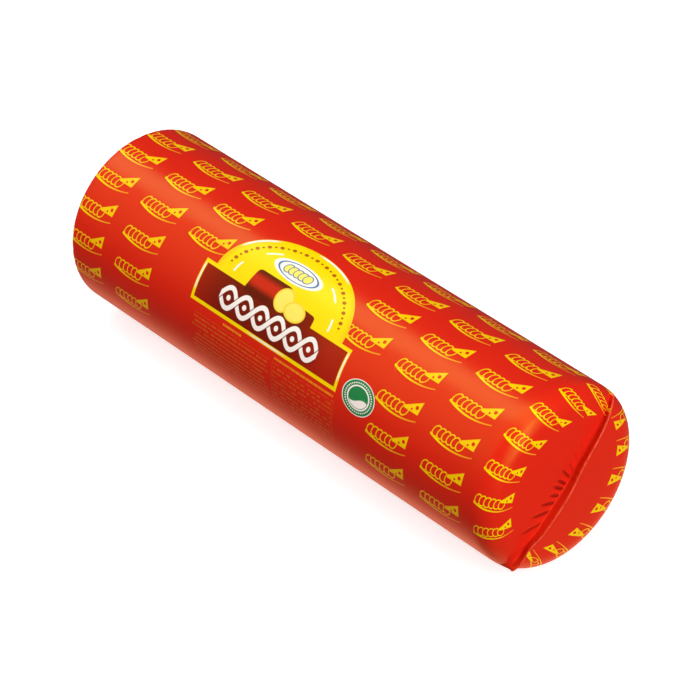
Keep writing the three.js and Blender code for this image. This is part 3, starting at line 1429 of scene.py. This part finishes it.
            # A face at the last column ends on the first one, a full turn further on.
            widest = np.zeros(len(counts), int)
            np.maximum.at(widest, polygon[mine], column)
            wraps = (column == 0) & (widest[polygon[mine]] > wall.columns // 2 + 1)
            column = np.where(wraps, wall.columns, column)
            angle = self.roll.weld_angle + column * 2 * math.pi / wall.columns
            flat[mine, 0] = prints[which][row, column]
            flat[mine, 1] = angle * self.roll.radius
            mean = prints[which].mean(axis=1)
            share = (mean - mean[0]) / (mean[-1] - mean[0])
            low, high = self.chart_strips[which]
            chart[mine, 0] = low + (high - low) * share[row]
            chart[mine, 1] = self.chart_margin + (1 - 2 * self.chart_margin) * column / wall.columns
        for name, values in (("film_print", flat), ("OFBake", chart)):
            layer = mesh.uv_layers.new(name=name)
            layer.data.foreach_set("uv", values.ravel())

    def tip_line(self, end: EndShape) -> np.ndarray:
        """The middle of a fin's tip, from ear to ear.

        Args:
            end: the end.

        Returns:
            An array of (point, 3).
        """
        rings, _ = self.outer.rings()
        ring = rings[-1] if end.side is End.MOUTH else rings[0]
        half = self.outer.columns // 2
        back = np.concatenate([ring[:1], ring[: half - 1 : -1]])
        across = np.array(self.roll.weld_axes()[1])
        width = np.minimum(np.arange(len(back)), np.arange(len(back))[::-1]).clip(0, 1)
        return back + across * self.outer.fin_half * width[:, None]


def dress(node: str, material: bpy.types.Material) -> None:
    """Gives a CAD node's object one material."""
    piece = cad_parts[node]
    piece.data.materials.clear()
    piece.data.materials.append(material)


def settle(piece: bpy.types.Object, slot: str, *nodes: str) -> bpy.types.Object:
    """Puts a piece under its body and hides the CAD nodes that it stands for.

    Args:
        piece: the piece.
        slot: the piece's material slot; not used.
        nodes: the CAD nodes that it replaces.

    Returns:
        The piece.
    """
    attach(piece, BODY)
    if nodes:
        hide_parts(*nodes)
    triangles = sum(len(face.vertices) - 2 for face in piece.data.polygons)
    log.info("%s: %d triangles", piece.name, triangles)
    return piece


# ---- studio -----------------------------------------------------------------------------------


WARM: Colour = (1.0, 0.38, 0.26)  # light that a red film has thrown back


@dataclass(frozen=True)
class Softbox:
    """A rectangular soft light, in metres."""

    name: str
    place: tuple[float, float, float]
    size: tuple[float, float]
    glow: float  # radiance
    aim: tuple[float, float, float] = (0.0, 0.0, 0.05)
    mirrored: bool = False  # whether it shows in the film's gloss
    tint: Colour = (1.0, 1.0, 1.0)

    def build(self) -> None:
        """Makes the light."""
        light = bpy.data.lights.new(self.name, "AREA")
        light.shape = "RECTANGLE"
        light.size, light.size_y = self.size
        light.color = self.tint
        light.energy = self.glow * math.pi * self.size[0] * self.size[1]
        box = bpy.data.objects.new(self.name, light)
        box.location = self.place
        box.rotation_mode = "QUATERNION"
        box.rotation_quaternion = (box.location - Vector(self.aim)).to_track_quat("Z", "Y")
        box.visible_camera = False
        box.visible_glossy = self.mirrored
        bpy.context.scene.collection.objects.link(box)


@dataclass(frozen=True)
class Studio:
    """A pale floor under soft boxes, in a dim surround with a warm glow from below."""

    floor_half: float = 6.0
    floor_tone: float = 0.6
    floor_glow: float = 0.72
    surround: float = 0.06
    bounce: float = 1.55
    bounce_tint: Colour = (1.0, 0.3, 0.19)
    backdrop: float = 0.97
    boxes: tuple[Softbox, ...] = (
        Softbox("overhead", (0.0, -0.15, 1.3), (4.0, 0.56), 1.6, mirrored=True),
        Softbox("front", (-0.9, -0.95, 1.35), (1.6, 1.6), 2.05),
        Softbox("front_fill", (-1.3, -1.4, 0.42), (1.7, 0.8), 2.3, tint=WARM),
        Softbox("back_fill", (-0.2, 1.7, 0.45), (1.6, 0.6), 2.3, tint=WARM),
        Softbox("end", (1.55, -0.25, 0.6), (1.4, 1.4), 3.9),
        Softbox("side", (1.75, -0.12, 0.75), (0.45, 1.4), 1.7, mirrored=True),
    )

    def build(self) -> None:
        """Makes the floor, the lights and the world."""
        bpy.context.scene.view_settings.view_transform = "Standard"
        self.add_floor()
        for box in self.boxes:
            box.build()
        world = bpy.data.worlds.new("surround")
        world.use_nodes = True
        world.node_tree.nodes.clear()
        g = Graph(world.node_tree)
        along, depth, height = split(g, g.add("ShaderNodeTexCoord").outputs["Generated"])
        # The warm glow comes from below, and fades towards the front and the mouth's side.
        below = g.fade(height, -0.3, -0.85) & g.fade(depth, -0.5, 0.2) & g.fade(along, 0.7, 0.1)
        lit = g.mix(below, (self.surround,) * 3, tuple(self.bounce * part for part in self.bounce_tint))
        seen = Value(g, g.add("ShaderNodeLightPath").outputs["Is Camera Ray"])
        colour = g.mix(seen, lit, (self.backdrop,) * 3)
        sky = g.add("ShaderNodeBackground", {}, {"Color": colour, "Strength": 1.0})
        g.add("ShaderNodeOutputWorld", {}, {"Surface": sky.outputs[0]})
        bpy.context.scene.world = world

    def add_floor(self) -> None:
        """Makes the floor, whose light on the roll is left to the surround."""
        corners = [(-1, -1), (1, -1), (1, 1), (-1, 1)]
        points = np.array([(x * self.floor_half, y * self.floor_half, 0.0) for x, y in corners])
        floor = new_piece("floor", points, [(0, 1, 2, 3)])
        material, g, shader = new_material("pale_floor")
        tone = self.floor_tone
        g.link((tone, tone, tone), shader.inputs["Base Color"])
        g.link((1, 1, 1), shader.inputs["Emission Color"])
        g.link(self.floor_glow, shader.inputs["Emission Strength"])
        g.link(0.7, shader.inputs["Roughness"])
        floor.data.materials.append(material)
        floor.visible_diffuse = False
        floor.visible_glossy = False


@dataclass(frozen=True)
class Viewpoint:
    """The camera, with its turn about Z from -Y towards +X, and its tilt downwards."""

    turn: float = 0.8623432
    tilt: float = 0.5846123
    distance: float = 1.809589
    across: float = -0.0032362
    above: float = 0.0040714
    lens: float = 190.85

    def place(self, target: Vector) -> None:
        """Makes the camera.

        Args:
            target: the middle of the roll's axis.
        """
        turn, tilt = self.turn, self.tilt
        ahead = Vector((-math.sin(turn) * math.cos(tilt), math.cos(turn) * math.cos(tilt), -math.sin(tilt)))
        right = Vector((math.cos(turn), math.sin(turn), 0))
        up = right.cross(ahead)
        camera = bpy.data.objects.new("camera", bpy.data.cameras.new("camera"))
        camera.data.lens = self.lens
        camera.data.sensor_width = 36
        camera.location = target - ahead * self.distance - right * self.across - up * self.above
        camera.rotation_mode = "QUATERNION"
        camera.rotation_quaternion = (-ahead).to_track_quat("Z", "Y")
        bpy.context.scene.collection.objects.link(camera)
        bpy.context.scene.camera = camera


def main() -> None:
    """Builds the pieces, the studio and the camera, and reports each piece."""
    logging.basicConfig(level=logging.INFO, format="%(message)s")
    roll = Roll.from_frame()
    middle = Vector((0, 0, roll.axis_height))
    Viewpoint().place(middle)
    Studio().build()

    film = PrintedFilm().material(roll)
    bag = FilmBag(roll)
    skin = bag.build(film)
    for gathers in (
        Gathers(End.MOUTH, 1.0, seed=3),
        Gathers(End.BASE, 1.0, seed=11, first=math.radians(-50), last=math.radians(50)),
        Gathers(End.BASE, -1.0, seed=23, first=math.radians(-50), last=math.radians(50)),
    ):
        gathers.press(skin, roll, film)
    settle(skin, "printed_film", "film_bag")
    fused = FusedFilm().material()
    for name, end in (("mouth_fused_edge", roll.mouth), ("base_fused_edge", roll.base)):
        settle(FusedEdge().make(name, bag.tip_line(end), fused), "printed_film")
    dress("cheese_roll", SmokedCheese().material())


if __name__ == "__main__":
    main()
